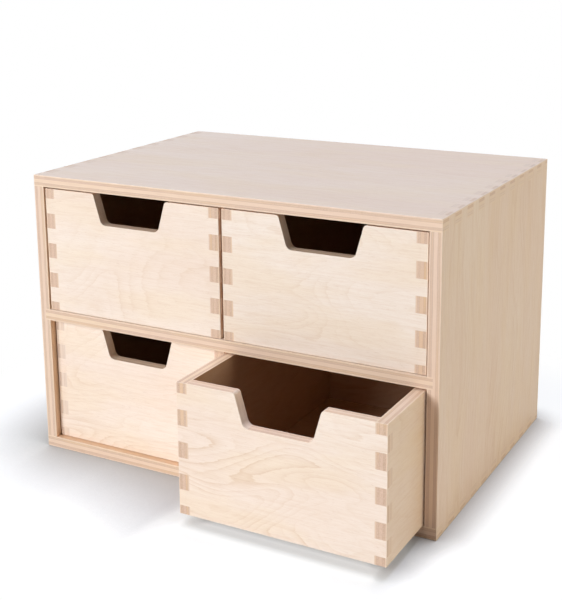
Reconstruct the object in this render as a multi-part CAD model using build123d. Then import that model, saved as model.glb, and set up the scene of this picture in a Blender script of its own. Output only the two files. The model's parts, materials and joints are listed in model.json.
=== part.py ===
from build123d import *
import os

# A small desk cabinet of birch plywood with four drawers.
#
# Two drawers stand side by side over two more. The cabinet is a box of four finger-jointed
# panels with one shelf, a thin back and a thin divider between each pair of drawers. Every
# drawer is a finger-jointed box with a base in grooves and a notch in its front for a finger.
#
# Millimetres. The origin is at the middle of the underside, +Z is up and the fronts face -Y.
# The drawers are drawn where they stand at rest: the lower right one is pulled out.

# ---------------------------------------------------------------- cabinet
cabinet_width = 320.0
cabinet_depth = 225.0
cabinet_height = 214.0
cabinet_ply = 8.5  # thickness of the top, bottom, sides and shelf
cabinet_finger = 11.0  # width of one finger, counted from the front edge
shelf_housing = 4.0  # how deep the shelf's ends sit in the sides
short_finger = 1.5  # a remainder shorter than this joins the finger before it

back_ply = 3.0
back_rebate = 5.0  # width of the rebate round the opening at the rear
back_fit = 0.2  # play round the back panel in its rebate

divider_ply = 2.0
divider_groove = 2.5  # depth of the grooves that hold a divider
divider_setback = 4.0  # from the cabinet's front edge to the divider's

# ---------------------------------------------------------------- drawers
drawer_ply = 8.0  # thickness of a drawer's front, back and sides
drawer_finger = 11.3  # width of one finger
lowest_finger = 6.2  # the first finger, at the drawer's lower edge
run_clearance = 0.3  # under a drawer, and between a drawer and its divider
side_clearance = 0.9  # between a drawer and the cabinet's side
top_clearance = 1.2  # over a drawer
home_recess = 5.0  # how far a front lies behind the cabinet's edge when pushed home
home_clearance = 0.3  # left behind a drawer that is pushed home

base_ply = 3.0
base_groove = 4.0  # depth of the grooves that hold the base
base_rise = 4.5  # from the drawer's lower edge to the underside of its base
base_fit = 0.2  # play round the base in its grooves

notch_mouth = 62.0  # width of the finger notch at the drawer's upper edge
notch_floor = 49.0  # its width at the bottom
notch_depth = 22.7
notch_radius = 5.0  # at the two lower corners
lip_radius = 2.5  # at the two upper corners

# How far each front stands proud of the cabinet's front edge. A recess is negative.
drawn_out = {
    "upper_left": -1.0,
    "upper_right": -1.0,
    "lower_left": -home_recess,
    "lower_right": 59.0,
}

# ---------------------------------------------------------------- sizes that follow
half_width = cabinet_width / 2
front_y = -cabinet_depth / 2
rear_y = cabinet_depth / 2
back_y = rear_y - back_ply  # the face that a drawer meets when it is pushed home
inner_x = half_width - cabinet_ply
bay_height = (cabinet_height - 3 * cabinet_ply) / 2
lower_bay_z = cabinet_ply
shelf_z = lower_bay_z + bay_height
upper_bay_z = shelf_z + cabinet_ply
ceiling_z = upper_bay_z + bay_height

drawer_width = inner_x - divider_ply / 2 - run_clearance - side_clearance
drawer_height = bay_height - run_clearance - top_clearance
drawer_length = cabinet_depth - back_ply - home_recess - home_clearance


def slab(x0, x1, y0, y1, z0, z1):
    """A box between two corners."""
    size = (x1 - x0, y1 - y0, z1 - z0)
    middle = Pos((x0 + x1) / 2, (y0 + y1) / 2, (z0 + z1) / 2)
    return middle * Box(*size)


def finger_spans(length, finger, first):
    """The spans of a finger joint along an edge, as (start, end) pairs from 0 to length."""
    marks = [0.0]
    mark = first
    while mark < length - short_finger:
        marks.append(mark)
        mark += finger
    marks.append(length)
    return list(zip(marks[:-1], marks[1:]))


# ---------------------------------------------------------------- cabinet pieces
cabinet_joint = finger_spans(cabinet_depth, cabinet_finger, cabinet_finger)
deck_spans = cabinet_joint[0::2]  # fingers of the top and bottom panels
side_spans = cabinet_joint[1::2]  # fingers of the side panels


def rear_rebate():
    """The space that the back panel's rebate takes from the four outer panels."""
    reach = inner_x + back_rebate
    low, high = lower_bay_z - back_rebate, ceiling_z + back_rebate
    return slab(-reach, reach, back_y, rear_y, low, high)


def divider(floor_z):
    """A thin panel between two drawers, held in grooves above and below."""
    low = floor_z - divider_groove
    high = floor_z + bay_height + divider_groove
    half = divider_ply / 2
    return slab(-half, half, front_y + divider_setback, back_y, low, high)


def shelf_blank():
    """The shelf before it is grooved, with its ends as deep as their housings."""
    reach = inner_x + shelf_housing
    return slab(-reach, reach, front_y, back_y, shelf_z, upper_bay_z)


def deck_panel(z0):
    """The top or bottom panel: full width, with the side panels' fingers let in."""
    panel = slab(-half_width, half_width, front_y, rear_y, z0, z0 + cabinet_ply)
    for start, end in side_spans:
        for x0, x1 in ((-half_width, -inner_x), (inner_x, half_width)):
            panel -= slab(x0, x1, front_y + start, front_y + end, z0, z0 + cabinet_ply)
    return panel - rear_rebate()


def side_panel(x0):
    """A side panel with its upright grain, its fingers and the shelf's housing."""
    x1 = x0 + cabinet_ply
    panel = slab(x0, x1, front_y, rear_y, 0, cabinet_height)
    for start, end in deck_spans:
        for z0, z1 in ((0, lower_bay_z), (ceiling_z, cabinet_height)):
            panel -= slab(x0, x1, front_y + start, front_y + end, z0, z1)
    return panel - shelf_blank() - rear_rebate()


def back_panel():
    """The thin back, let into the rebate and flush with the rear edges."""
    reach = inner_x + back_rebate - back_fit
    low = lower_bay_z - back_rebate + back_fit
    high = ceiling_z + back_rebate - back_fit
    return slab(-reach, reach, back_y, rear_y, low, high)


def cabinet_pieces():
    """All pieces that stay still, by name."""
    lower_divider, upper_divider = divider(lower_bay_z), divider(upper_bay_z)
    return {
        "bottom_panel": deck_panel(0) - lower_divider,
        "top_panel": deck_panel(ceiling_z) - upper_divider,
        "left_side_panel": side_panel(-half_width),
        "right_side_panel": side_panel(inner_x),
        "middle_shelf": shelf_blank() - lower_divider - upper_divider,
        "back_panel": back_panel(),
        "lower_divider": lower_divider,
        "upper_divider": upper_divider,
    }


# ---------------------------------------------------------------- drawer pieces
# A drawer is made with its lower left front corner at the origin, then put in its bay.
drawer_joint = finger_spans(drawer_height, drawer_finger, lowest_finger)
wall_spans = drawer_joint[0::2]  # fingers of the drawer's sides, seen from the front
face_spans = drawer_joint[1::2]  # fingers of its front and back, seen from the side


def base_blank(play):
    """The drawer's base, or with no play the grooves that it slides in."""
    edge = drawer_ply - base_groove + play
    far_x, far_y = drawer_width - edge, drawer_length - edge
    return slab(edge, far_x, edge, far_y, base_rise, base_rise + base_ply)


def notch():
    """The finger notch as a solid, running out past both faces of a front."""
    left, right = drawer_ply, drawer_width - drawer_ply
    middle, top = drawer_width / 2, drawer_height
    floor, sky = top - notch_depth, top + notch_depth
    with BuildPart() as cutter:
        with BuildSketch(Plane.XZ):
            with BuildLine():
                FilletPolyline(
                    (left, sky),
                    (left, top),
                    (middle - notch_mouth / 2, top),
                    (middle - notch_floor / 2, floor),
                    (middle + notch_floor / 2, floor),
                    (middle + notch_mouth / 2, top),
                    (right, top),
                    (right, sky),
                    radius=[0, 0, lip_radius, notch_radius, notch_radius, lip_radius, 0, 0],
                    close=True,
                )
            make_face()
        extrude(amount=2 * drawer_ply, both=True)
    return cutter.part


def drawer_face(y0):
    """A drawer's front or back between the fingers of its sides."""
    y1 = y0 + drawer_ply
    panel = slab(0, drawer_width, y0, y1, 0, drawer_height)
    for z0, z1 in wall_spans:
        for x0, x1 in ((0, drawer_ply), (drawer_width - drawer_ply, drawer_width)):
            panel -= slab(x0, x1, y0, y1, z0, z1)
    return panel - base_blank(0)


def drawer_wall(x0):
    """A drawer's side, with fingers at both ends."""
    x1 = x0 + drawer_ply
    panel = slab(x0, x1, 0, drawer_length, 0, drawer_height)
    for z0, z1 in face_spans:
        for y0, y1 in ((0, drawer_ply), (drawer_length - drawer_ply, drawer_length)):
            panel -= slab(x0, x1, y0, y1, z0, z1)
    return panel - base_blank(0)


def drawer_pieces():
    """The five pieces of one drawer, by name."""
    return {
        "front": drawer_face(0) - notch(),
        "back": drawer_face(drawer_length - drawer_ply),
        "left_side": drawer_wall(0),
        "right_side": drawer_wall(drawer_width - drawer_ply),
        "base": base_blank(base_fit),
    }


def drawer_corner(place):
    """Where the lower left front corner of the drawer in this place lies at rest."""
    left_x = -inner_x + side_clearance
    right_x = divider_ply / 2 + run_clearance
    x = left_x if place.endswith("left") else right_x
    z = (upper_bay_z if place.startswith("upper") else lower_bay_z) + run_clearance
    return Pos(x, front_y - drawn_out[place], z)


# ---------------------------------------------------------------- write the pieces
pieces = cabinet_pieces()
one_drawer = drawer_pieces()
for place in drawn_out:
    for name, piece in one_drawer.items():
        pieces[f"{place}_drawer_{name}"] = drawer_corner(place) * piece

os.makedirs("parts", exist_ok=True)
for name, piece in pieces.items():
    export_step(piece, f"parts/{name}.step")
    print(name, round(piece.volume / 1000, 2), "cm3")
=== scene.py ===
# %% [markdown]
# # A birch plywood cabinet with four small drawers
# The real object is a box of bare birch plywood for a desk top. Its corners are finger joints,
# and so are the corners of its four drawers. Each drawer has a notch in its front to pull it by.
# The construction model gives every board its size and place. This lesson saws the same boards
# with Geometry Nodes, eases their edges and gives them real birch: veneer on the broad faces,
# layered plies on the edges and end grain on the finger ends.

# %% Load the frame
import json
import math
import random

import bmesh
import bpy
from mathutils import Euler, Matrix, Vector
from mathutils.bvhtree import BVHTree


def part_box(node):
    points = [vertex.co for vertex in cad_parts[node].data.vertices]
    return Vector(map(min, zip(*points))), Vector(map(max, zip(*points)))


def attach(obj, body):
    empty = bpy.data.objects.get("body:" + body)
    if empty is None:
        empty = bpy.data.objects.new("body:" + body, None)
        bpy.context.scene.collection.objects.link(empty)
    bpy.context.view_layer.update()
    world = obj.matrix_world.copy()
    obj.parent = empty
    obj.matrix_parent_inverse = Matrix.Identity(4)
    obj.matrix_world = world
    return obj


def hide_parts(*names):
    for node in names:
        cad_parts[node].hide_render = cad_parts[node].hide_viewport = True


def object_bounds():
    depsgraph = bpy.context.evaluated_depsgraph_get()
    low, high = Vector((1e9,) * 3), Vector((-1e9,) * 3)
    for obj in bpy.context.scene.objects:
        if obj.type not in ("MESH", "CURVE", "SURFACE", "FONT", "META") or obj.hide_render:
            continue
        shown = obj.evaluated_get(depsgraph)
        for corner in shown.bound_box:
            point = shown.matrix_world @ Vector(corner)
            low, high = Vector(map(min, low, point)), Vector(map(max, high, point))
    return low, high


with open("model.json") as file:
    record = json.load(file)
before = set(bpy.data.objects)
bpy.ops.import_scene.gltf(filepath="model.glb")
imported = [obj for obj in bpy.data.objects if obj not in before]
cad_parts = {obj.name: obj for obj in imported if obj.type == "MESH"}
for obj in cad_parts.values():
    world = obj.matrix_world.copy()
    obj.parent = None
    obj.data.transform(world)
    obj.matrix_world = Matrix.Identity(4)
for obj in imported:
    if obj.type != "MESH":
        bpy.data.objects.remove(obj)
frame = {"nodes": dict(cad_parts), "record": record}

MM = 0.001
cad_box = [list(corner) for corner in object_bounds()]

# %% [markdown]
# ## Camera
# The photograph looks at the cabinet from its right and a little from above, and its upright
# edges stay nearly parallel. A tilted camera makes uprights lean together, so part of the tilt
# is taken out by shifting the lens. The shift is kept small, because every other view of the
# model keeps it too.

# %% Camera
camera_place = Vector((0.4021, -0.7575, 0.3777))
camera_heading = math.radians(28.77)
camera_tilt = math.radians(12.364)
camera_roll = math.radians(-0.556)
picture_height = 600  # pixels, the picture's longer side
principal_row = 198.0  # the picture row that the lens looks straight at
lens_pixels = 1154.9  # focal length in pixels of the picture
sensor_side = 36.0  # millimetres, spans the picture's longer side

camera = bpy.data.objects.new("camera", bpy.data.cameras.new("camera"))
bpy.context.scene.collection.objects.link(camera)
camera.location = camera_place
level = Euler((math.pi / 2 - camera_tilt, 0, camera_heading)).to_matrix()
camera.rotation_euler = (level @ Matrix.Rotation(camera_roll, 3, "Z")).to_euler()
camera.data.sensor_width = sensor_side
camera.data.lens = lens_pixels * sensor_side / picture_height
camera.data.shift_y = (principal_row - picture_height / 2) / picture_height
bpy.context.scene.camera = camera
print("lens", round(camera.data.lens, 1), "mm, shift", round(camera.data.shift_y, 3))

# %% [markdown]
# ## A short way to write node trees
# Materials and Geometry Nodes are both graphs of nodes. The first helper adds a node, sets what
# is written beside it, and links an input when its value is another node's output. An input can
# be found by its number, because several nodes have inputs that share a name. The short helpers
# after it are the sums that come back most often.

# %% Node helper
def add(tree, kind, inputs=None, **settings):
    """Adds a node. Inputs map a socket's number or name to a value or to another socket."""
    node = tree.nodes.new(kind)
    for name, value in settings.items():
        setattr(node, name, value)
    for key, value in (inputs or {}).items():
        if isinstance(value, bpy.types.NodeSocket):
            tree.links.new(value, node.inputs[key])
        else:
            node.inputs[key].default_value = value
    return node


def geometry_tree(name, sockets):
    """A Geometry Nodes tree with named inputs. Returns it, its input node and its identifiers."""
    tree = bpy.data.node_groups.new(name, "GeometryNodeTree")
    tree.interface.new_socket("Geometry", in_out="OUTPUT", socket_type="NodeSocketGeometry")
    identifiers = {}
    for label, kind in sockets.items():
        socket = tree.interface.new_socket(label, in_out="INPUT", socket_type="NodeSocket" + kind)
        identifiers[label] = socket.identifier
    return tree, add(tree, "NodeGroupInput"), identifiers


def math_node(tree, operation, first, second=0.0, third=0.0):
    """The result of a Math node."""
    node = add(tree, "ShaderNodeMath", {0: first, 1: second, 2: third}, operation=operation)
    return node.outputs[0]


def vector_node(tree, operation, first, second=(0, 0, 0)):
    """The result of a Vector Math node."""
    node = add(tree, "ShaderNodeVectorMath", {0: first, 1: second}, operation=operation)
    return node.outputs[1 if operation == "LENGTH" else 0]


def times(tree, first, second):
    """The product of two values."""
    return math_node(tree, "MULTIPLY", first, second)


def linear(tree, value, slope, start):
    """The value times a slope, plus a start."""
    return math_node(tree, "MULTIPLY_ADD", value, slope, start)


def opposite(tree, value):
    """What the value lacks to 1."""
    return math_node(tree, "SUBTRACT", 1.0, value)


def parts(tree, vector):
    """The three numbers of a vector."""
    return list(add(tree, "ShaderNodeSeparateXYZ", {0: vector}).outputs)


def combined(tree, x=0.0, y=0.0, z=0.0):
    """A vector of three numbers."""
    return add(tree, "ShaderNodeCombineXYZ", {0: x, 1: y, 2: z}).outputs[0]


# %% [markdown]
# ## Sawing a board
# A finger joint is a row of equal slots sawn into both ends of a board, so it follows a rule:
# one slot, one step and a count. The tree below makes the blank, puts one slot on each point of
# a line, copies the row to the other end and takes both away from the blank. Grooves, rebates
# and the finger notch come in as a second object. Booleans in the tree keep the board one
# closed solid, which modelling the fingers one by one would not.

# %% The finger board tree
board_tree, given, BOARD = geometry_tree("finger board", {
    "Low": "Vector",
    "High": "Vector",
    "First slot": "Vector",
    "Slot size": "Vector",
    "Slot step": "Vector",
    "Slots": "Int",
    "Far end": "Vector",
    "Other cuts": "Object",
    "Wood": "Material",
})
size = vector_node(board_tree, "SUBTRACT", given.outputs["High"], given.outputs["Low"])
total = vector_node(board_tree, "ADD", given.outputs["High"], given.outputs["Low"])
middle = vector_node(board_tree, "MULTIPLY", total, (0.5, 0.5, 0.5))
blank = add(board_tree, "GeometryNodeMeshCube", {"Size": size})
placed = add(board_tree, "GeometryNodeTransform", {
    "Geometry": blank.outputs[0],
    "Translation": middle,
})
slot = add(board_tree, "GeometryNodeMeshCube", {"Size": given.outputs["Slot size"]})
half_slot = vector_node(board_tree, "MULTIPLY", given.outputs["Slot size"], (0.5, 0.5, 0.5))
cornered = add(board_tree, "GeometryNodeTransform", {
    "Geometry": slot.outputs[0],
    "Translation": half_slot,
})
row = add(board_tree, "GeometryNodeMeshLine", {
    "Count": given.outputs["Slots"],
    "Start Location": given.outputs["First slot"],
    "Offset": given.outputs["Slot step"],
}, mode="OFFSET")
near = add(board_tree, "GeometryNodeInstanceOnPoints", {
    "Points": row.outputs[0],
    "Instance": cornered.outputs[0],
})
far = add(board_tree, "GeometryNodeTransform", {
    "Geometry": near.outputs[0],
    "Translation": given.outputs["Far end"],
})
both = add(board_tree, "GeometryNodeJoinGeometry")
board_tree.links.new(near.outputs[0], both.inputs[0])
board_tree.links.new(far.outputs[0], both.inputs[0])
slots = add(board_tree, "GeometryNodeRealizeInstances", {"Geometry": both.outputs[0]})
others = add(board_tree, "GeometryNodeObjectInfo", {"Object": given.outputs["Other cuts"]})
sawn = add(board_tree, "GeometryNodeMeshBoolean", {
    "Mesh 1": placed.outputs[0],
}, operation="DIFFERENCE", solver="EXACT")
board_tree.links.new(slots.outputs[0], sawn.inputs["Mesh 2"])
board_tree.links.new(others.outputs["Geometry"], sawn.inputs["Mesh 2"])
solid = add(board_tree, "GeometryNodeRealizeInstances", {"Geometry": sawn.outputs[0]})
dressed = add(board_tree, "GeometryNodeSetMaterial", {
    "Geometry": solid.outputs[0],
    "Material": given.outputs["Wood"],
})
add(board_tree, "NodeGroupOutput", {0: dressed.outputs[0]})
print("finger board tree:", len(board_tree.nodes), "nodes")

# %% [markdown]
# ## The finger notch
# The notch is a trapezium with round lower corners, and its mouth runs out into the drawer's
# upper edge over two small radii. It could be modelled by hand, but a curve with a radius at
# each corner keeps its sizes: the tree fills that curve and pushes it through the front.

# %% The notch tree
notch_tree, given, NOTCH = geometry_tree("finger notch", {
    "Mouth": "Float",
    "Floor": "Float",
    "Depth": "Float",
    "Reach": "Float",
    "Corner radius": "Float",
    "Lip radius": "Float",
    "Thickness": "Float",
})
arc_steps = 12  # points on each rounded corner
weld_distance = 0.01 * MM

# Each corner lies half of a named width to one side, and some depths above the upper edge.
left_half = [("Reach", 1), ("Reach", 0), ("Mouth", 0), ("Floor", -1)]
corners = [(*place, -0.5) for place in left_half] + [(*place, 0.5) for place in left_half[::-1]]
radii = {"Mouth": given.outputs["Lip radius"], "Floor": given.outputs["Corner radius"]}
stations = add(notch_tree, "GeometryNodeMeshLine", {"Count": len(corners)}, mode="OFFSET")
index = add(notch_tree, "GeometryNodeInputIndex").outputs[0]
x, z, bend = 0.0, 0.0, 0.0
for number, (width_name, rise, side) in enumerate(corners):
    here = add(notch_tree, "FunctionNodeCompare", {
        2: index, 3: number,
    }, data_type="INT", operation="EQUAL").outputs[0]
    x = linear(notch_tree, here, times(notch_tree, given.outputs[width_name], side), x)
    z = linear(notch_tree, here, times(notch_tree, given.outputs["Depth"], float(rise)), z)
    bend = linear(notch_tree, here, radii.get(width_name, 0.0), bend)
bent = add(notch_tree, "GeometryNodeSetPosition", {
    "Geometry": stations.outputs[0], "Position": combined(notch_tree, x, z),
})
tagged = add(notch_tree, "GeometryNodeStoreNamedAttribute", {
    "Geometry": bent.outputs[0], "Name": "bend", "Value": bend,
}, data_type="FLOAT", domain="POINT")
line = add(notch_tree, "GeometryNodeMeshToCurve", {"Mesh": tagged.outputs[0]})
loop = add(notch_tree, "GeometryNodeSetSplineCyclic", {"Geometry": line.outputs[0], "Cyclic": True})
radius = add(notch_tree, "GeometryNodeInputNamedAttribute", {"Name": "bend"}, data_type="FLOAT")
rounded = add(notch_tree, "GeometryNodeFilletCurve", {
    "Curve": loop.outputs[0], "Count": arc_steps, "Radius": radius.outputs[0], "Limit Radius": False,
}, mode="POLY")
filled = add(notch_tree, "GeometryNodeFillCurve", {"Curve": rounded.outputs[0]}, mode="NGONS")
pushed = add(notch_tree, "GeometryNodeExtrudeMesh", {
    "Mesh": filled.outputs[0], "Offset Scale": given.outputs["Thickness"], "Individual": False,
}, mode="FACES")
flipped = add(notch_tree, "GeometryNodeFlipFaces", {"Mesh": filled.outputs[0]})
closed = add(notch_tree, "GeometryNodeJoinGeometry")
notch_tree.links.new(pushed.outputs[0], closed.inputs[0])
notch_tree.links.new(flipped.outputs[0], closed.inputs[0])
welded = add(notch_tree, "GeometryNodeMergeByDistance", {
    "Geometry": closed.outputs[0], "Distance": weld_distance,
})
upright = add(notch_tree, "GeometryNodeTransform", {
    "Geometry": welded.outputs[0], "Rotation": (math.pi / 2, 0, 0),
})
add(notch_tree, "NodeGroupOutput", {0: upright.outputs[0]})
print("notch tree:", len(notch_tree.nodes), "nodes")

# %% [markdown]
# ## Running a tree
# A tree can stay live on an object as a modifier. These boards get their edge weights and their
# grain afterwards, so each tree runs once, on an empty mesh, and its result is kept as a plain
# mesh. Every input is set before that run.

# %% Running a tree
def run_tree(name, tree, identifiers, values):
    """Runs a Geometry Nodes tree on an empty mesh and keeps the result as a plain mesh object."""
    holder = bpy.data.objects.new(name, bpy.data.meshes.new(name))
    bpy.context.scene.collection.objects.link(holder)
    modifier = holder.modifiers.new("nodes", "NODES")
    modifier.node_group = tree
    for label, value in values.items():
        modifier[identifiers[label]] = value
    depsgraph = bpy.context.evaluated_depsgraph_get()
    made = bpy.data.meshes.new_from_object(holder.evaluated_get(depsgraph))
    holder.modifiers.clear()
    holder.data = made
    return holder


def drop(thing):
    """Removes a helper object."""
    bpy.data.objects.remove(thing, do_unlink=True)


# %% [markdown]
# ## Sizes from the construction
# The boards' boxes come from the frame, so only what a box cannot say is written here: the
# width of the fingers, where the first one starts, how many a drawer's side has, and the notch.
# Grooves, rebates and housings are cut with the box of the piece that lies in them, with a
# little play round the back and the drawer bases.

# %% Sizes
cabinet_finger = 11.0 * MM
drawer_finger = 11.3 * MM
lowest_finger = 6.2 * MM
drawer_fingers = 5  # at each end of a drawer's side
notch_mouth = 62.0 * MM
notch_floor = 49.0 * MM
notch_depth = 22.7 * MM
notch_corner = 5.0 * MM
notch_lip = 2.5 * MM
overrun = 2.0 * MM  # how far a cutter runs out past a board
groove_fit = 0.2 * MM  # the play of a thin board in its groove or rebate

cabinet_low, cabinet_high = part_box("left_side_panel")[0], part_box("right_side_panel")[1]
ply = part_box("top_panel")[1].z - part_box("top_panel")[0].z
drawer_low, drawer_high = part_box("upper_left_drawer_left_side")
drawer_ply = drawer_high.x - drawer_low.x
back_low, back_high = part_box("back_panel")
thin_ply = back_high.y - back_low.y
divider_low, divider_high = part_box("upper_divider")
divider_ply = divider_high.x - divider_low.x
thicknesses = [ply, drawer_ply, thin_ply, divider_ply]
print("plywood of the cabinet, drawers, back and dividers",
      [round(thickness / MM, 2) for thickness in thicknesses], "mm")

# %% Cutters
def cut_box(low, high):
    """A closed box to saw with."""
    box = bmesh.new()
    bmesh.ops.create_cube(box, size=1.0)
    for vertex in box.verts:
        vertex.co = [low[axis] if vertex.co[axis] < 0 else high[axis] for axis in range(3)]
    bmesh.ops.recalc_face_normals(box, faces=box.faces)
    mesh = bpy.data.meshes.new("cut")
    box.to_mesh(mesh)
    box.free()
    return mesh


def cutter(meshes):
    """One object that holds several cuts. Cuts of one object may touch, but not overlap."""
    joined = bmesh.new()
    for mesh in meshes:
        joined.from_mesh(mesh)
    mesh = bpy.data.meshes.new("cutter")
    joined.to_mesh(mesh)
    joined.free()
    thing = bpy.data.objects.new("cutter", mesh)
    bpy.context.scene.collection.objects.link(thing)
    return thing


# %% [markdown]
# ## Birch plywood
# Birch ply is easy to get wrong as one wood picture stretched over a box. A board shows three
# different cuts: rotary-cut veneer on its broad faces, stripes of plies on its edges, and among
# those stripes end grain wherever a ply runs into the edge. So every board carries attributes
# that say where and what it is. The first is the place on the board in metres: along the grain,
# across it and through the thickness. The second says how squarely the surface is cut: end, long
# edge or broad face. The third says how this sheet differs from the next: its brightness, which
# is partly its own tone and partly painted light where the lamps reach a board less or more, and
# how dark its crossbands and its end grain are; the end grain of the notch walls gets a painted
# shade. A plain number beside it says how strongly its growth rings show. One material reads
# them all, and the pattern stays on the board when a drawer moves.

# %% Tones
def srgb(red, green, blue):
    """A colour as a picture shows it, from 0 to 255, as the linear colour a shader takes."""
    shares = [level / 255 for level in (red, green, blue)]
    light = [((s + 0.055) / 1.055) ** 2.4 if s > 0.04045 else s / 12.92 for s in shares]
    return (*light, 1.0)


veneer_cream = srgb(246, 230, 213)
veneer_pink = srgb(240, 217, 197)
veneer_straw = srgb(242, 220, 191)
veneer_line = srgb(218, 183, 146)
pore_brown = srgb(196, 156, 120)
fleck_brown = srgb(178, 134, 98)
ply_pink = srgb(236, 208, 184)
ply_straw = srgb(240, 214, 184)
ply_line = srgb(220, 186, 155)
end_mauve = srgb(214, 181, 155)
end_dark = srgb(195, 157, 129)
end_straw = srgb(222, 182, 134)
glue_line = srgb(178, 140, 112)
# pale eased edge: the paleness of sanding and a painted highlight
sanded_arris_highlight = srgb(252, 238, 220)
print("cream veneer, as linear light", [round(channel, 2) for channel in veneer_cream[:3]])

# %% Shader helpers
def attribute(tree, name, output="Vector"):
    """What a board's attribute says at the point that is shaded."""
    return add(tree, "ShaderNodeAttribute", attribute_name=name).outputs[output]


def mix(tree, share, first, second, blend="MIX"):
    """A colour between two others."""
    inputs = {0: share, 6: first, 7: second}
    return add(tree, "ShaderNodeMix", inputs, data_type="RGBA", blend_type=blend).outputs[2]


def mix_numbers(tree, share, first, second):
    """A number between two others."""
    return add(tree, "ShaderNodeMix", {0: share, 2: first, 3: second}, data_type="FLOAT").outputs[0]


def noise(tree, vector, stretch, detail=2.0, roughness=0.5, distortion=0.0):
    """Noise from 0 to 1. The stretch is how often it varies per metre along, across and through."""
    scaled = vector_node(tree, "MULTIPLY", vector, stretch)
    return add(tree, "ShaderNodeTexNoise", {
        "Vector": scaled, "Scale": 1.0,
        "Detail": detail, "Roughness": roughness, "Distortion": distortion,
    }).outputs[0]


def between(tree, value, low, high):
    """0 up to low, 1 from high, smooth between."""
    inputs = {0: value, 1: low, 2: high}
    return add(tree, "ShaderNodeMapRange", inputs, interpolation_type="SMOOTHSTEP").outputs[0]


# %% [markdown]
# ### The broad face
# Rotary-cut birch is peeled from the log like paper from a roll. The knife runs almost along the
# growth rings, so they show as thin, wandering contour lines, sharp on one side and soft on the
# other. A height map does the same: its fraction after scaling gives contour lines that close,
# part and run into flames. A slow warp makes them lean, and a noise that changes quickly across
# the grain frays them into points, because the knife tears along the fibres. Each year has its
# own strength. Fibres, pores and a few brown flecks come on top, stretched along the grain.

# %% Veneer
# Marks along the grain, the last and finest of which are the fibres: how often they vary per
# metre, their roughness, the noise at which they set in and are full, and how much they show.
grain_marks = [
    ((13, 360, 360), 0.65, (0.42, 0.75), 0.14),
    ((42, 520, 520), 0.7, (0.45, 0.72), 0.17),
    ((90, 1500, 1500), 0.7, (0.42, 0.75), 0.2),
]
straw_share, pore_share, fleck_share = 0.5, 0.3, 0.3
ring_lean = 0.12  # how far the rings lean across the grain, in metres
ring_fray = 0.75  # how far they fray along it, in rings


def ground(tree, board):
    """The slow change of hue over a rotary-cut face."""
    cloud = noise(tree, board, (2.5, 9, 9), detail=3)
    face = mix(tree, between(tree, cloud, 0.3, 0.7), veneer_cream, veneer_pink)
    patches = noise(tree, board, (9, 34, 34), detail=3, roughness=0.6)
    straw = times(tree, between(tree, patches, 0.42, 0.66), straw_share)
    return mix(tree, straw, face, veneer_straw)


def growth_rings(tree, board, along, across, rings, strength):
    """How clearly the growth rings show.

    Along and across say how often the height map varies per metre, and rings is how many
    contour lines its full height holds."""
    wander = linear(tree, noise(tree, board, (5, 5, 5), detail=1), ring_lean, -ring_lean / 2)
    bent = vector_node(tree, "ADD", board, combined(tree, y=wander))
    hills = noise(tree, bent, (along, across, across), detail=1.6, distortion=0.25)
    fray = noise(tree, board, (22, 330, 330), detail=3, roughness=0.6)
    height = linear(tree, hills, rings, times(tree, fray, ring_fray))
    phase = math_node(tree, "FRACT", height)
    soft_side = times(tree, between(tree, phase, 0.2, 0.92), 0.5)
    rise = linear(tree, between(tree, phase, 0.74, 0.93), 0.5, soft_side)
    line = times(tree, rise, opposite(tree, between(tree, phase, 0.94, 1.0)))
    year = math_node(tree, "FLOOR", height)
    own = add(tree, "ShaderNodeTexWhiteNoise", {"W": year}, noise_dimensions="1D").outputs[0]
    clear = between(tree, noise(tree, board, (9, 26, 26), detail=2), 0.38, 0.66)
    clear = times(tree, linear(tree, clear, 0.8, 0.2), strength)
    return times(tree, line, times(tree, clear, linear(tree, own, 0.8, 0.3)))


def flecks(tree, board):
    """Small brown flecks, in a few of the cells of a pattern that is stretched along the grain."""
    scattered = vector_node(tree, "MULTIPLY", board, (24, 60, 60))
    cells = add(tree, "ShaderNodeTexVoronoi", {"Vector": scattered, "Scale": 1.0}, feature="F1")
    lot = add(tree, "ShaderNodeSeparateColor", {0: cells.outputs["Color"]}).outputs[0]
    fleck = opposite(tree, between(tree, cells.outputs["Distance"], 0.02, 0.09))
    return times(tree, fleck, between(tree, lot, 0.93, 0.96))


def veneer(tree, board, figure, strength):
    """The colour of a rotary-cut face, its relief and its fibres."""
    ring = growth_rings(tree, board, *figure, strength)
    face = mix(tree, ring, ground(tree, board), veneer_line)
    for stretch, roughness, limits, share in grain_marks:
        fibres = noise(tree, board, stretch, detail=3, roughness=roughness)
        face = mix(tree, times(tree, between(tree, fibres, *limits), share), face, veneer_line)
    pores = between(tree, noise(tree, board, (300, 3400, 3400), detail=1), 0.66, 0.76)
    face = mix(tree, times(tree, pores, pore_share), face, pore_brown)
    face = mix(tree, times(tree, flecks(tree, board), fleck_share), face, fleck_brown)
    relief = linear(tree, pores, -0.6, times(tree, fibres, 0.5))
    return face, relief, fibres


# %% [markdown]
# ### The edge
# This birch ply has a thick core, a thinner crossband on each side of it and faces sanded thin.
# Counting the glue lines passed on the way out tells which ply a point lies in. The crossbands
# are of a darker veneer, the inner one paler than the outer, and the other plies darken where the
# cut shows their end grain. Each ply has its own hue, and a hairline of glue on each side.

# %% Plies
glue_core, glue_fade = 0.05 * MM, 0.24 * MM  # a glue line's dark middle, and where it ends
waver_width = 0.6 * MM  # how much the plies wander through the thickness


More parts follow.
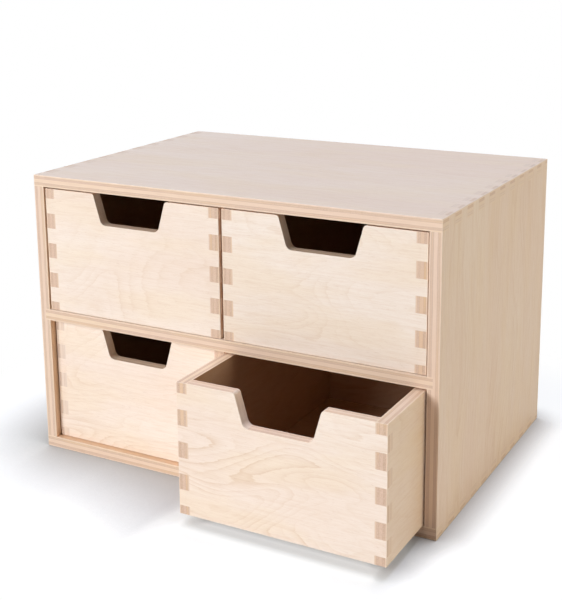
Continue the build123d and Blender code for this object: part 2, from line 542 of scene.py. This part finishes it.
def count_plies(tree, depth, thickness, glue_lines):
    """How many glue lines lie between the middle and a point, and whether it lies on one."""
    out = math_node(tree, "DIVIDE", math_node(tree, "ABSOLUTE", depth), thickness)
    passed, glue = 0.0, 0.0
    for line in glue_lines:
        passed = math_node(tree, "ADD", passed, math_node(tree, "GREATER_THAN", out, line))
        off_line = math_node(tree, "ABSOLUTE", math_node(tree, "SUBTRACT", out, line))
        off_line = between(tree, off_line, glue_core / thickness, glue_fade / thickness)
        glue = math_node(tree, "MAXIMUM", glue, opposite(tree, off_line))
    return passed, glue


def ply_darkness(tree, sheet, end, depth, crossband, face_ply):
    """How far a ply's edge has the brown of end grain."""
    band_dark, end_dark_share = sheet[1], sheet[2]
    own_end = times(tree, end_dark_share, linear(tree, face_ply, -0.25, 0.65))
    own_dark = linear(tree, own_end, end, 0.06)
    inner_half = math_node(tree, "LESS_THAN", depth, 0.0)
    paler = times(tree, inner_half, linear(tree, end_dark_share, -0.55, 0.7))
    band_end = times(tree, linear(tree, end_dark_share, 0.4, 0.55), opposite(tree, paler))
    return mix_numbers(tree, crossband, own_dark, mix_numbers(tree, end, band_dark, band_end))


def ply_tones(tree, board, own_place, end, end_dark_share):
    """The light colour of a ply's long grain and the brown of its end grain."""
    hue = noise(tree, own_place, (5, 5, 5.3), detail=2)
    light = mix(tree, between(tree, hue, 0.38, 0.62), ply_pink, ply_straw)
    streak = noise(tree, board, (110, 110, 2300), detail=3, roughness=0.6)
    light = mix(tree, times(tree, between(tree, streak, 0.35, 0.75), 0.3), light, ply_line)
    pale_end = times(tree, end, linear(tree, end_dark_share, -0.75, 0.75))
    light = mix(tree, pale_end, light, veneer_cream)
    specks = noise(tree, board, (1700, 1700, 1500), detail=3, roughness=0.7)
    brown = mix(tree, between(tree, specks, 0.35, 0.7), end_mauve, end_dark)
    elsewhere = vector_node(tree, "ADD", own_place, (7, 3, 0))
    tone = noise(tree, elsewhere, (14, 14, 3.7), detail=2)
    brown = mix(tree, times(tree, between(tree, tone, 0.5, 0.66), 0.6), brown, end_straw)
    return light, brown


def edge_of_plies(tree, board, sheet, end, thickness, glue_lines):
    """The colour of a ply edge, and where end grain shows.

    The glue lines are given as parts of the thickness, from the middle outwards."""
    waver = linear(tree, noise(tree, board, (16, 16, 16), detail=2), waver_width, -waver_width / 2)
    depth = math_node(tree, "ADD", parts(tree, board)[2], waver)
    passed, glue = count_plies(tree, depth, thickness, glue_lines)
    from_outside = math_node(tree, "SUBTRACT", float(len(glue_lines)), passed)
    crossband = math_node(tree, "PINGPONG", from_outside, 1.0)
    face_ply = math_node(tree, "LESS_THAN", from_outside, 0.5)
    shows_end = math_node(tree, "ABSOLUTE", math_node(tree, "SUBTRACT", end, crossband))
    dark = ply_darkness(tree, sheet, end, depth, crossband, face_ply)

    flat = vector_node(tree, "MULTIPLY", board, (1, 1, 0))
    which_ply = times(tree, passed, math_node(tree, "SIGN", depth))
    own_place = vector_node(tree, "ADD", flat, combined(tree, z=which_ply))
    edge = mix(tree, dark, *ply_tones(tree, board, own_place, end, sheet[2]))
    present = between(tree, noise(tree, own_place, (30, 30, 4.1), detail=1), 0.35, 0.65)
    edge = mix(tree, times(tree, glue, linear(tree, present, 0.3, 0.2)), edge, glue_line)
    return edge, shows_end


# %% [markdown]
# ### One birch for all boards
# Face and edge could be two materials, but an eased edge rolls from one to the other. One
# material that blends them by the direction of the cut has no border to hide. The eased edges
# are painted pale: partly the paleness that sanding rubs into them, partly a painted highlight.
# End grain is drier than the face, and the inner side of a sheet gets a painted shade, as inside
# a drawer or the cabinet. The two thin sheets have three plies, the others five.

# %% The birch material
relief_strength, relief_height = 0.4, 0.12 * MM
face_rough, fibre_rough, dry_rough = 0.37, 0.12, 0.2  # the last two come on top of the first


def birch(name, thickness, glue_lines, figure, tint, inner_shade_tint):
    """Birch plywood of one thickness. The inner tint is a painted shade on the sheet's inner face.
    """
    material = bpy.data.materials.new(name)
    material.use_nodes = True
    tree = material.node_tree
    tree.nodes.clear()
    board = attribute(tree, "board")
    end, long_edge, broad = parts(tree, attribute(tree, "cut"))
    sheet = parts(tree, attribute(tree, "sheet"))

    face, relief, fibres = veneer(tree, board, figure, attribute(tree, "figure", "Fac"))
    # the inner face gets its painted shade, as inside a drawer or the cabinet
    shaded_inner_side = math_node(tree, "LESS_THAN", parts(tree, board)[2], 0.0)
    face = mix(tree, shaded_inner_side, face, mix(tree, 1.0, face, inner_shade_tint, blend="MULTIPLY"))
    edge, shows_end = edge_of_plies(tree, board, sheet, end, thickness, glue_lines)
    on_face = between(tree, broad, 0.35, 0.85)
    colour = mix(tree, on_face, edge, face)

    # the eased edges are painted pale: partly sanding, partly a painted highlight
    squarest = math_node(tree, "MAXIMUM", math_node(tree, "MAXIMUM", end, long_edge), broad)
    arris = opposite(tree, between(tree, squarest, 0.93, 0.995))
    rubbing_and_highlight = between(tree, noise(tree, board, (60, 60, 60), detail=3), 0.3, 0.7)
    arris = times(tree, arris, linear(tree, rubbing_and_highlight, 0.3, 0.3))
    colour = mix(tree, arris, colour, sanded_arris_highlight)
    # each board's brightness: partly its own tone, partly painted light
    tone_and_light = add(tree, "ShaderNodeCombineColor", {channel: sheet[0] for channel in range(3)})
    colour = mix(tree, 1.0, colour, tone_and_light.outputs[0], blend="MULTIPLY")
    colour = mix(tree, 1.0, colour, tint, blend="MULTIPLY")

    bump = add(tree, "ShaderNodeBump", {
        "Strength": relief_strength, "Distance": relief_height, "Height": relief,
    })
    dry = times(tree, shows_end, opposite(tree, on_face))
    rough = linear(tree, fibres, fibre_rough, linear(tree, dry, dry_rough, face_rough))
    shader = add(tree, "ShaderNodeBsdfPrincipled", {
        "Base Color": colour, "Roughness": rough, "Normal": bump.outputs[0],
    })
    add(tree, "ShaderNodeOutputMaterial", {0: shader.outputs[0]})
    return material


five_plies, three_plies = (0.17, 0.36), (0.22,)  # where the glue lines lie
plain_figure = (1.7, 26.0, 15.0)  # along, across and rings
flamed_figure = (5.5, 15.0, 32.0)
untinted = (1, 1, 1, 1)
# The inner tints are painted shade on the faces inside the cabinet and the drawers, darkest in the
# drawers.
cabinet_birch = birch("cabinet birch", ply, five_plies, plain_figure,
                      tint=(0.985, 0.97, 0.96, 1), inner_shade_tint=(0.92, 0.76, 0.6, 1))
drawer_birch = birch("drawer birch", drawer_ply, five_plies, flamed_figure,
                     tint=untinted, inner_shade_tint=(0.6, 0.46, 0.35, 1))
# The thin sheets are tinted browner: partly a browner veneer, partly painted shade on the drawer
# bases.
thin_birch = birch("thin birch", thin_ply, three_plies, plain_figure,
                   tint=(0.82, 0.67, 0.52, 1), inner_shade_tint=(0.95, 0.93, 0.9, 1))
# the dividers are painted dark brown: painted shade for the deep gap between the drawers
gap_shade_birch = birch("gap shade birch", divider_ply, three_plies, plain_figure,
                    tint=(0.62, 0.38, 0.22, 1), inner_shade_tint=untinted)
print("finishes", [m.name for m in (cabinet_birch, drawer_birch, thin_birch, gap_shade_birch)])

# %% [markdown]
# ## Easing the edges
# Sandpaper takes the sharpness off every free edge, and that thin bright line is what makes a
# board look solid. Where two boards meet there is no free edge, only a hairline. Blender's Bevel
# modifier can take its width from a weight on each edge. An edge that another board of the same
# box touches gets the hairline's weight, and all others get the full one.

# %% Edge weights
free_ease = 0.55 * MM
seam_ease = 0.07 * MM
touching = 0.03 * MM
cut_tolerance = 0.001 * MM
sharp_angle = math.radians(25)


def split_where_boards_end(shape, neighbours):
    """Cuts a board's faces where a neighbour begins or ends, so that an edge is free or a seam."""
    for neighbour in neighbours:
        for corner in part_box(neighbour):
            for axis in range(3):
                normal = [float(axis == other) for other in range(3)]
                whole = shape.verts[:] + shape.edges[:] + shape.faces[:]
                bmesh.ops.bisect_plane(
                    shape, geom=whole, dist=cut_tolerance, plane_co=corner, plane_no=normal)


def weigh_edges(shape, neighbours):
    """Stores the bevel weight of each sharp edge. Returns how many are free and how many seams."""
    walls = []
    for neighbour in neighbours:
        mesh = frame["nodes"][neighbour].data
        corners = [v.co.copy() for v in mesh.vertices]
        walls.append(BVHTree.FromPolygons(corners, [list(p.vertices) for p in mesh.polygons]))
    weight = shape.edges.layers.float.new("bevel_weight_edge")
    free = seams = 0
    for edge in shape.edges:
        if len(edge.link_faces) != 2 or edge.calc_face_angle() < sharp_angle:
            continue
        middle = (edge.verts[0].co + edge.verts[1].co) / 2
        seam = any(wall.find_nearest(middle, touching)[0] is not None for wall in walls)
        edge[weight] = seam_ease / free_ease if seam else 1.0
        free, seams = free + (not seam), seams + seam
    return free, seams


# %% Easing a board
weld_gap = 0.002 * MM
flat_angle = math.radians(1)
ease_segments = 3


def ease_edges(thing, neighbours):
    """Rounds a sawn board's edges. Returns how many of them are free and how many are seams."""
    shape = bmesh.new()
    shape.from_mesh(thing.data)
    bmesh.ops.remove_doubles(shape, verts=shape.verts, dist=weld_gap)
    bmesh.ops.dissolve_limit(shape, angle_limit=flat_angle, verts=shape.verts, edges=shape.edges)
    split_where_boards_end(shape, neighbours)
    free, seams = weigh_edges(shape, neighbours)
    shape.to_mesh(thing.data)
    shape.free()
    bevel = thing.modifiers.new("eased edges", "BEVEL")
    bevel.limit_method = "WEIGHT"
    bevel.width = free_ease
    bevel.segments = ease_segments
    bevel.use_clamp_overlap = True
    depsgraph = bpy.context.evaluated_depsgraph_get()
    eased = bpy.data.meshes.new_from_object(thing.evaluated_get(depsgraph))
    thing.modifiers.clear()
    wood = thing.data.materials[0]
    thing.data = eased
    if not eased.materials:
        eased.materials.append(wood)
    return free, seams


# %% [markdown]
# ## Where a point lies on its board
# A texture can follow the object's own axes, but the boards of a drawer lie in three directions
# and each came from another part of the birch sheet. So every point gets its place on its own
# board, turned so that the first number runs along the grain, and every board gets a random
# place on the sheet. The attributes are written to the plain mesh, after the last modifier.

# %% Board coordinates
rng = random.Random(19)
notch_inset = 12 * MM  # end grain further than this from a board's ends is the finger notch's
inward_end_shade = 0.9  # how dark the end grain away from the ends is painted: painted shade on the notch walls


def mark_board(mesh, grain_axis, thick_axis, middle, outer_side, sheet_look):
    """Writes the place on the board, the kind of cut and the sheet's look.

    The outer side is 1 or -1 along the thickness; the other, inner face gets a painted shade.
    The look is the brightness, partly the board's own tone and partly painted light, how dark the
    crossbands and the end grain are, and how strong the figure is."""
    cross_axis = 3 - grain_axis - thick_axis
    axes = (grain_axis, cross_axis, thick_axis)
    sheet = (rng.uniform(-3, 3), rng.uniform(-3, 3), 0.0)
    signs = (*[rng.choice((-1, 1))] * 2, outer_side)
    boards = mesh.attributes.new("board", "FLOAT_VECTOR", "POINT")
    for vertex, value in zip(mesh.vertices, boards.data):
        offset = vertex.co - middle
        value.vector = [offset[a] * signs[n] + sheet[n] for n, a in enumerate(axes)]
    cuts = mesh.attributes.new("cut", "FLOAT_VECTOR", "FACE")
    for polygon, value in zip(mesh.polygons, cuts.data):
        value.vector = [polygon.normal[a] ** 2 for a in axes]
    tone_and_light, band_dark, end_dark_share, figure_strength = sheet_look
    looks = mesh.attributes.new("sheet", "FLOAT_VECTOR", "POINT")
    from_middle = [abs(vertex.co[grain_axis] - middle[grain_axis]) for vertex in mesh.vertices]
    # end grain away from the board's ends, mostly the walls of the finger notch, gets a painted
    # shade
    ends_begin = max(from_middle) - notch_inset
    for distance, value in zip(from_middle, looks.data):
        away_from_ends = distance < ends_begin
        value.vector = (tone_and_light, band_dark, max(end_dark_share, inward_end_shade * away_from_ends))
    figures = mesh.attributes.new("figure", "FLOAT", "POINT")
    for strength in figures.data:
        strength.value = figure_strength


# %% Finishing a board
def volume_of(mesh):
    """The volume inside a closed mesh, in cubic centimetres."""
    shape = bmesh.new()
    shape.from_mesh(mesh)
    volume = abs(shape.calc_volume()) / (10 * MM) ** 3
    shape.free()
    return volume


def finish_board(thing, node, grain_axis, sheet_look):
    """Eases a sawn board, marks its grain and lets it stand for its construction node."""
    bodies = frame["record"]["behaviour"]["bodies"]
    body = next(name for name, nodes in bodies.items() if node in nodes)
    low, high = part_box(node)
    middle = (low + high) / 2
    thick_axis = min(range(3), key=lambda axis: high[axis] - low[axis])
    boxes = [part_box(other) for other in bodies[body]]
    body_middle = (min(b[0][thick_axis] for b in boxes) + max(b[1][thick_axis] for b in boxes)) / 2
    outer_side = 1 if middle[thick_axis] >= body_middle else -1
    sawn_volume = volume_of(thing.data)
    free, seams = ease_edges(thing, [other for other in bodies[body] if other != node])
    mark_board(thing.data, grain_axis, thick_axis, middle, outer_side, sheet_look)
    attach(thing, body)
    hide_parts(node)
    cad_volume = volume_of(frame["nodes"][node].data)
    print(f"{thing.name}: sawn {sawn_volume:.2f} cm3, construction {cad_volume:.2f} cm3,",
          f"{free} free edges, {seams} seams, {len(thing.data.polygons)} faces")


def saw_board(name, node, grain_axis, wood, sheet_look, slots=None, cuts=()):
    """Saws a board from its node's box.

    Slots are the first slot, its size, the step, their number and the way to the far end."""
    low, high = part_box(node)
    out_of_reach = high + Vector((1, 1, 1))
    chip = Vector((ply, ply, ply))
    first, size, step, count, far = slots or (out_of_reach, chip, Vector(), 1, Vector())
    knife = cutter(cuts or [cut_box(out_of_reach, out_of_reach + chip)])
    thing = run_tree(name, board_tree, BOARD, {
        "Low": low, "High": high, "First slot": first, "Slot size": size, "Slot step": step,
        "Slots": count, "Far end": far, "Other cuts": knife, "Wood": wood,
    })
    drop(knife)
    finish_board(thing, node, grain_axis, sheet_look)


# %% [markdown]
# ## The cabinet's boards
# The fingers of the top and bottom show on the sides and the sides' show on the top, eleven
# millimetres each, starting with a finger of the top at the front. The grain of the top and
# bottom runs from side to side, and that of the sides runs upright.

# %% Cabinet boards
X, Y, Z = 0, 1, 2
width = cabinet_high.x - cabinet_low.x
height = cabinet_high.z - cabinet_low.z
depth = cabinet_high.y - cabinet_low.y
rebate = cut_box(
    (back_low.x - groove_fit, back_low.y, back_low.z - groove_fit),
    (back_high.x + groove_fit, back_high.y + overrun, back_high.z + groove_fit),
)
slot_step = Vector((0, 2 * cabinet_finger, 0))
slot_count = math.ceil(depth / cabinet_finger / 2)


def deck_slots(node):
    """The slots that the side boards' fingers need in the top or bottom."""
    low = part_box(node)[0]
    first = Vector((cabinet_low.x - overrun, cabinet_low.y + cabinet_finger, low.z - overrun))
    size = Vector((ply + overrun, cabinet_finger, ply + 2 * overrun))
    return first, size, slot_step, slot_count, Vector((width - ply + overrun, 0, 0))


def side_slots(node):
    """The slots that the top's and bottom's fingers need in a side board."""
    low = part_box(node)[0]
    first = Vector((low.x - overrun, cabinet_low.y, cabinet_low.z - overrun))
    size = Vector((ply + 2 * overrun, cabinet_finger, ply + overrun))
    return first, size, slot_step, slot_count, Vector((0, 0, height - ply + overrun))


shelf_low, shelf_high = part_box("middle_shelf")
housing = cut_box(
    (shelf_low.x, shelf_low.y - overrun, shelf_low.z),
    (shelf_high.x, shelf_high.y, shelf_high.z),
)
grooves = {row: cut_box(*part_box(row + "_divider")) for row in ("upper", "lower")}
# brightness (partly the board's own tone, partly painted light), how dark the crossbands are, how
# dark the end grain is, strength of the figure
top_look, deck_look = (1.01, 0.55, 0.08, 0.16), (1.0, 0.6, 0.08, 0.2)
side_look, thin_look = (0.99, 0.55, 0.1, 0.4), (1.0, 0.6, 0.6, 0.3)
saw_board("top_board", "top_panel", X, cabinet_birch, top_look,
          deck_slots("top_panel"), [rebate, grooves["upper"]])
saw_board("bottom_board", "bottom_panel", X, cabinet_birch, deck_look,
          deck_slots("bottom_panel"), [rebate, grooves["lower"]])
for side in ("left", "right"):
    panel = f"{side}_side_panel"
    saw_board(f"{side}_side_board", panel, Z, cabinet_birch, side_look,
              side_slots(panel), [rebate, housing])
saw_board("shelf_board", "middle_shelf", X, cabinet_birch, deck_look,
          cuts=list(grooves.values()))
saw_board("back_board", "back_panel", X, thin_birch, thin_look)
for row in ("upper", "lower"):
    saw_board(f"{row}_divider_board", f"{row}_divider", Y, gap_shade_birch, thin_look)

# %% [markdown]
# ## The drawers
# Each drawer is the same box: the sides' fingers show as five blocks at each end of the front.
# The loop saws them four times, because each board has its own place on the birch sheet and so
# its own figure.

# %% Drawer slots and notch
finger_step = Vector((0, 0, 2 * drawer_finger))


def face_slots(node):
    """The slots that the sides' fingers need in a drawer's front or back."""
    low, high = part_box(node)
    first = Vector((low.x - overrun, low.y - overrun, low.z + lowest_finger - drawer_finger))
    size = Vector((drawer_ply + overrun, drawer_ply + 2 * overrun, drawer_finger))
    far = Vector((high.x - low.x - drawer_ply + overrun, 0, 0))
    return first, size, finger_step, drawer_fingers, far


def wall_slots(node):
    """The slots that the front's and back's fingers need in a drawer's side."""
    low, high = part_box(node)
    first = Vector((low.x - overrun, low.y - overrun, low.z + lowest_finger))
    size = Vector((drawer_ply + 2 * overrun, drawer_ply + overrun, drawer_finger))
    far = Vector((0, high.y - low.y - drawer_ply + overrun, 0))
    return first, size, finger_step, drawer_fingers - 1, far


def notch_cut(node):
    """The notch's solid in the middle of a drawer front's upper edge."""
    low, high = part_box(node)
    thing = run_tree("notch", notch_tree, NOTCH, {
        "Mouth": notch_mouth, "Floor": notch_floor, "Depth": notch_depth,
        "Reach": high.x - low.x - 2 * drawer_ply, "Corner radius": notch_corner,
        "Lip radius": notch_lip, "Thickness": drawer_ply + 2 * overrun,
    })
    mesh = thing.data
    mesh.transform(Matrix.Translation(((low.x + high.x) / 2, high.y + overrun, high.z)))
    drop(thing)
    return mesh


# %% Drawer boards
fronts = {  # each front's brightness, partly its own tone and partly painted light, and the strength of the figure
    "upper_left": (1.02, 0.28),
    "upper_right": (1.005, 0.33),
    "lower_left": (1.05, 0.42),
    "lower_right": (1.045, 0.56),
}
front_band_dark, front_end_dark = 0.5, 0.25
# the walls are brightened a little: painted light on the open drawer's side
wall_look = (1.03, 0.6, 1.0, 0.2)
pale_wall_look = (1.0, 0.55, 0.3, 0.3)  # one wall whose end grain hardly shows beside its front
for place, (tone_and_light, figure) in fronts.items():
    front, back, base = (f"{place}_drawer_{board}" for board in ("front", "back", "base"))
    base_low, base_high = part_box(base)
    groove = cut_box(
        (base_low.x - groove_fit, base_low.y - groove_fit, base_low.z),
        (base_high.x + groove_fit, base_high.y + groove_fit, base_high.z),
    )
    look = (tone_and_light, front_band_dark, front_end_dark, figure)
    saw_board(f"{place}_front_board", front, X, drawer_birch, look,
              face_slots(front), [groove, notch_cut(front)])
    saw_board(f"{place}_back_board", back, X, drawer_birch, look,
              face_slots(back), [groove])
    for side in ("left", "right"):
        wall = f"{place}_drawer_{side}_side"
        look = pale_wall_look if (place, side) == ("lower_left", "left") else wall_look
        saw_board(f"{place}_{side}_wall", wall, Y, drawer_birch, look,
                  wall_slots(wall), [groove])
    saw_board(f"{place}_base_board", base, X, thin_birch, thin_look)

# %% [markdown]
# ## Floor and light
# The photograph is cut out on white, with a soft grey shadow. The floor is plain paper. What the
# camera sees of it is lifted towards white by a little glow that only camera and mirror rays
# meet, so the shadow stays and no extra light falls on the wood. The glow also fades where the
# cabinet stands close over the paper, as an Ambient Occlusion node finds it: over a wide band at
# the left and a narrow one at the right. Under the open drawer it is a finger's breadth, and it
# widens again into a soft, faint shade ahead of the drawer. Further out the paper is white.

# %% What the camera sees
def seen_directly(tree):
    """1 for what the camera sees, also in a mirror or through glass, and 0 for light on things."""
    path = add(tree, "ShaderNodeLightPath").outputs
    seen = math_node(tree, "MAXIMUM", path["Is Camera Ray"], path["Is Glossy Ray"])
    return math_node(tree, "MAXIMUM", seen, path["Is Transmission Ray"])


# %% The shade on the paper
left_band, left_depth = 0.1, 2.75  # how far the shade reaches in metres, and how dark it gets


def shade_on_paper(tree, here):
    """How far the shade reaches over the paper at a point, and how dark it gets.

    One kind of shade passes into the next over some millimetres of the paper."""
    x, y, _ = parts(tree, here)
    under_drawer = between(tree, x, -0.025, 0.0)
    at_right = between(tree, x, 0.14, 0.153)
    at_drawer_front = times(tree, between(tree, y, -0.1555, -0.1715), under_drawer)
    ahead_of_drawer = times(tree, between(tree, y, -0.1735, -0.198), under_drawer)
    band, depth = left_band, left_depth
    # what each place adds to the band, in metres, and to how dark it gets
    for where, wider, deeper in (
        (under_drawer, -0.0845, -1.2),
        (at_right, 0.0095, 0.6),
        (at_drawer_front, -0.0055, 0.0),
        (ahead_of_drawer, 0.035, -0.5),
    ):
        band = linear(tree, where, wider, band)
        depth = linear(tree, where, deeper, depth)
    return band, depth


def distance_from_cabinet(tree, here):
    """How far a point of the paper lies from the box that holds the cabinet at rest."""
    low, high = Vector(cad_box[0]), Vector(cad_box[1])
    from_middle = vector_node(tree, "SUBTRACT", here, (low + high) / 2)
    from_middle = vector_node(tree, "ABSOLUTE", from_middle)
    beside = vector_node(tree, "SUBTRACT", from_middle, (high - low) / 2)
    beside = vector_node(tree, "MAXIMUM", beside, (0, 0, 0))
    return vector_node(tree, "LENGTH", beside)


# %% Floor
floor_reach = 8.0
floor_drop = 0.2 * MM
floor_mesh = bpy.data.meshes.new("floor")
floor_corners = [(-1, -1), (1, -1), (1, 1), (-1, 1)]
floor_mesh.from_pydata([(x * floor_reach, y * floor_reach, -floor_drop) for x, y in floor_corners],
                       [], [(0, 1, 2, 3)])
floor = bpy.data.objects.new("floor", floor_mesh)
bpy.context.scene.collection.objects.link(floor)
print("floor", 2 * floor_reach, "m wide")

# %% Paper
shade_samples = 12
glow_strength = 0.738
white_from, white_at = 0.05, 0.14  # metres from the cabinet over which the paper turns white
paper_lit, paper_seen = (0.72, 0.69, 0.65, 1), (0.46, 0.44, 0.42, 1)
paper = bpy.data.materials.new("white paper")
paper.use_nodes = True
tree = paper.node_tree
tree.nodes.clear()
seen = seen_directly(tree)
tone = mix(tree, seen, paper_lit, paper_seen)
plain = add(tree, "ShaderNodeBsdfDiffuse", {"Color": tone})
here = add(tree, "ShaderNodeTexCoord").outputs["Object"]
band, depth_of_shade = shade_on_paper(tree, here)
open_sky = add(tree, "ShaderNodeAmbientOcclusion", {"Distance": band}, samples=shade_samples)
lift = math_node(tree, "POWER", open_sky.outputs["AO"], depth_of_shade)
lift = times(tree, times(tree, lift, glow_strength), seen)
glow = add(tree, "ShaderNodeEmission", {"Color": (0.97, 0.995, 1.0, 1), "Strength": lift})
near = add(tree, "ShaderNodeAddShader", {0: plain.outputs[0], 1: glow.outputs[0]})
white = add(tree, "ShaderNodeEmission", {"Color": (1, 1, 1, 1), "Strength": 1.0})
away = between(tree, distance_from_cabinet(tree, here), white_from, white_at)
shown = add(tree, "ShaderNodeMixShader", {
    0: times(tree, away, seen), 1: near.outputs[0], 2: white.outputs[0],
})
add(tree, "ShaderNodeOutputMaterial", {0: shown.outputs[0]})
floor_mesh.materials.append(paper)
print("paper:", len(tree.nodes), "nodes")

# %% [markdown]
# ### Lamps
# A large soft box at the front left, a little above the cabinet, lights the drawer fronts and the
# floors of the notches. A cooler one high overhead lights the top and draws the soft shadow round
# the foot. A faint warm one, low at the right, lights the right side. It stands behind the line of
# the fronts, so the left walls of the notches stay in the shade, as in the photograph.

# %% Lamps
lamp_aim = Vector((0, 0, 0.1))


def lamp(name, place, size, power, colour):
    """A soft box that points at the cabinet. Returns how far off it is.

    The place, width and height are in metres, and the power is in watts."""
    data = bpy.data.lights.new(name, "AREA")
    data.shape = "RECTANGLE"
    data.size, data.size_y = size
    data.energy = power
    data.color = colour
    thing = bpy.data.objects.new(name, data)
    thing.location = place
    ray = lamp_aim - Vector(place)
    thing.rotation_euler = ray.to_track_quat("-Z", "Y").to_euler()
    bpy.context.scene.collection.objects.link(thing)
    return ray.length


lamp_distances = [
    lamp("front soft box", (-1.5, -3.2, 1.5), (1.8, 1.7), 122.5, (0.94, 0.99, 1.07)),
    lamp("overhead soft box", (0.25, 0.1, 3.0), (0.8, 0.8), 31.5, (0.9, 1.0, 1.3)),
    lamp("side soft box", (2.0, 0.35, 0.2), (1.2, 0.5), 13.3, (1.0, 0.83, 0.5)),
]
print("lamps at", [round(distance, 2) for distance in lamp_distances], "m")

# %% [markdown]
# ### World
# The world fills the shadows a little. What the camera sees of it is plain white, by a mix that
# looks at the kind of ray, so the white background adds no light to the wood.

# %% World
fill_colour, fill_strength = (1.0, 0.95, 0.89, 1), 0.12
world = bpy.data.worlds.new("studio")
bpy.context.scene.world = world
world.use_nodes = True
tree = world.node_tree
tree.nodes.clear()
soft = add(tree, "ShaderNodeBackground", {"Color": fill_colour, "Strength": fill_strength})
white = add(tree, "ShaderNodeBackground", {"Color": (1, 1, 1, 1), "Strength": 1.0})
shown = add(tree, "ShaderNodeMixShader", {
    0: seen_directly(tree), 1: soft.outputs[0], 2: white.outputs[0],
})
add(tree, "ShaderNodeOutputWorld", {0: shown.outputs[0]})
bpy.context.scene.view_settings.view_transform = "Standard"
print("world fill", fill_strength)
